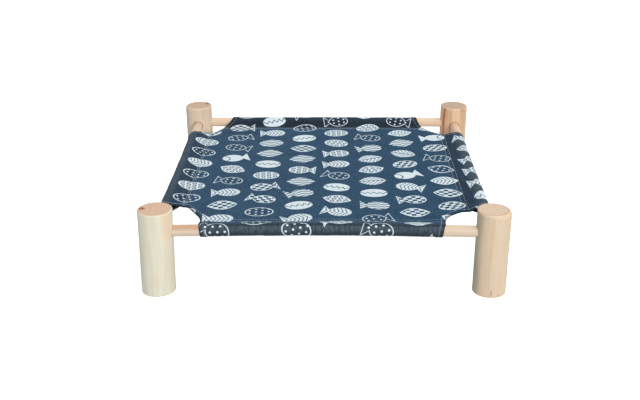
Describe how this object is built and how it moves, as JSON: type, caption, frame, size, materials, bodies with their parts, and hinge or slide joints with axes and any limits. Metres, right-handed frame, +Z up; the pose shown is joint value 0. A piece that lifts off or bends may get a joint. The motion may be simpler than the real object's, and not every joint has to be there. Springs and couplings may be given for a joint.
{
  "type": "cat hammock",
  "caption": "Low square cat hammock: round log posts, dowel rails pushed into blind sockets, and a taut printed canvas sling with a sewn sleeve round each rail and scalloped corners.",
  "frame": {"origin": "on the floor, under the middle of the four posts", "axes": "+Z up, -Y towards the front of the bed, +X to the right seen from the front"},
  "size_m": [0.501, 0.501, 0.122],
  "materials": {
    "post_wood": "peeled and lightly sanded pine log, unvarnished",
    "rail_wood": "sanded pine dowel, unvarnished",
    "canvas": "navy cotton canvas with a pale print"
  },
  "bodies": {
    "root": {"post_front_left": "post_wood", "post_front_right": "post_wood", "post_rear_left": "post_wood", "post_rear_right": "post_wood", "rail_front": "rail_wood", "rail_rear": "rail_wood", "rail_left": "rail_wood", "rail_right": "rail_wood", "sling_panel": "canvas", "sleeve_front": "canvas", "sleeve_rear": "canvas", "sleeve_left": "canvas", "sleeve_right": "canvas", "hem_front_left": "canvas", "hem_front_right": "canvas", "hem_rear_left": "canvas", "hem_rear_right": "canvas"}
  },
  "joints": []
}
